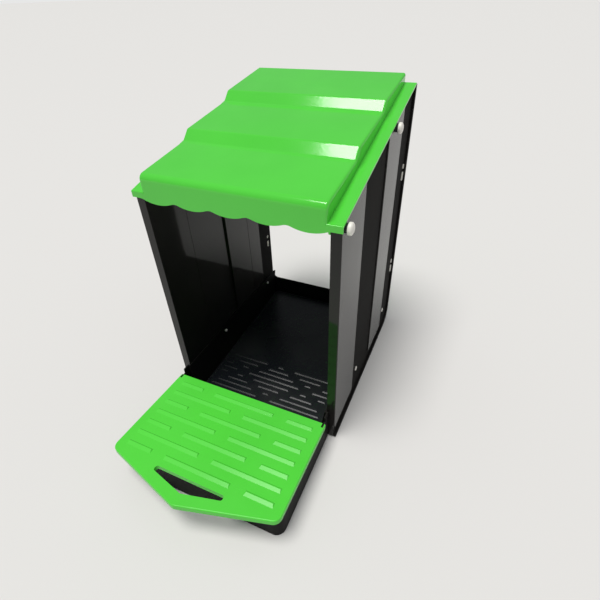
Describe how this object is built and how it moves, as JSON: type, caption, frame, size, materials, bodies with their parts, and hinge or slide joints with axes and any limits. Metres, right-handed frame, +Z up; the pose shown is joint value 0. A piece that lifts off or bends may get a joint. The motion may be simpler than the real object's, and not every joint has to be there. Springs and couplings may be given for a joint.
{
  "type": "roll-away nest box",
  "caption": "Small plastic hen coop with side panels, tiled roof held by knobs, base tray with sloping ribbed nest floor, and a hinged egg lid with a handle slot.",
  "frame": {"origin": "centre of the base tray's underside, on the ground", "axes": "+X to the right of somebody looking in from the front, +Y towards the rear, +Z up; X = 0 is the plane of symmetry"},
  "size_m": [0.3426, 0.6131, 0.5356],
  "materials": {
    "green_plastic": "smooth glossy bright green polypropylene",
    "black_panel": "semi-gloss black polypropylene, smooth planks and inner face, finely grained bands",
    "black_tray": "semi-gloss black polypropylene",
    "black_floor": "glossy black ribbed sheet",
    "white_plastic": "off-white moulded plastic",
    "washer_rubber": "dark rubber",
    "steel": "zinc-plated"
  },
  "bodies": {
    "coop": {"roof": "green_plastic", "left_side_panel": "black_panel", "right_side_panel": "black_panel", "base_tray": "black_tray", "hinge_pin_left": "steel", "hinge_pin_right": "steel", "knob_washer_front_left": "washer_rubber", "knob_nut_front_left": "steel", "base_pin_front_left": "white_plastic", "knob_washer_front_right": "washer_rubber", "knob_nut_front_right": "steel", "base_pin_front_right": "white_plastic", "knob_washer_rear_left": "washer_rubber", "knob_nut_rear_left": "steel", "base_pin_rear_left": "white_plastic", "knob_washer_rear_right": "washer_rubber", "knob_nut_rear_right": "steel", "base_pin_rear_right": "white_plastic", "fixing_liners_slot_left": "white_plastic", "fixing_liners_slot_right": "white_plastic", "fixing_liners_round_left": "white_plastic", "fixing_liners_round_right": "white_plastic"},
    "lid": {"egg_lid": "green_plastic"},
    "floor": {"nest_floor": "black_floor"},
    "knob_front_left": {"roof_knob_front_left": "white_plastic"},
    "knob_front_right": {"roof_knob_front_right": "white_plastic"},
    "knob_rear_left": {"roof_knob_rear_left": "white_plastic"},
    "knob_rear_right": {"roof_knob_rear_right": "white_plastic"}
  },
  "joints": [
    {"name": "lid_hinge", "type": "hinge", "parent": "coop", "child": "lid", "pos_m": [0, -0.11225, 0.055], "axis": [-1, 0, 0], "range_deg": [0, 91]},
    {"name": "floor_lift", "type": "slide", "parent": "coop", "child": "floor", "axis": [0, 0, 1], "range_m": [0, 0.12]},
    {"name": "knob_front_left_turn", "type": "hinge", "parent": "coop", "child": "knob_front_left", "pos_m": [-0.16, -0.07575, 0.41854], "axis": [-1, 0, 0], "continuous": true},
    {"name": "knob_front_right_turn", "type": "hinge", "parent": "coop", "child": "knob_front_right", "pos_m": [0.16, -0.07575, 0.41854], "axis": [1, 0, 0], "continuous": true},
    {"name": "knob_rear_left_turn", "type": "hinge", "parent": "coop", "child": "knob_rear_left", "pos_m": [-0.16, 0.15825, 0.47775], "axis": [-1, 0, 0], "continuous": true},
    {"name": "knob_rear_right_turn", "type": "hinge", "parent": "coop", "child": "knob_rear_right", "pos_m": [0.16, 0.15825, 0.47775], "axis": [1, 0, 0], "continuous": true}
  ]
}
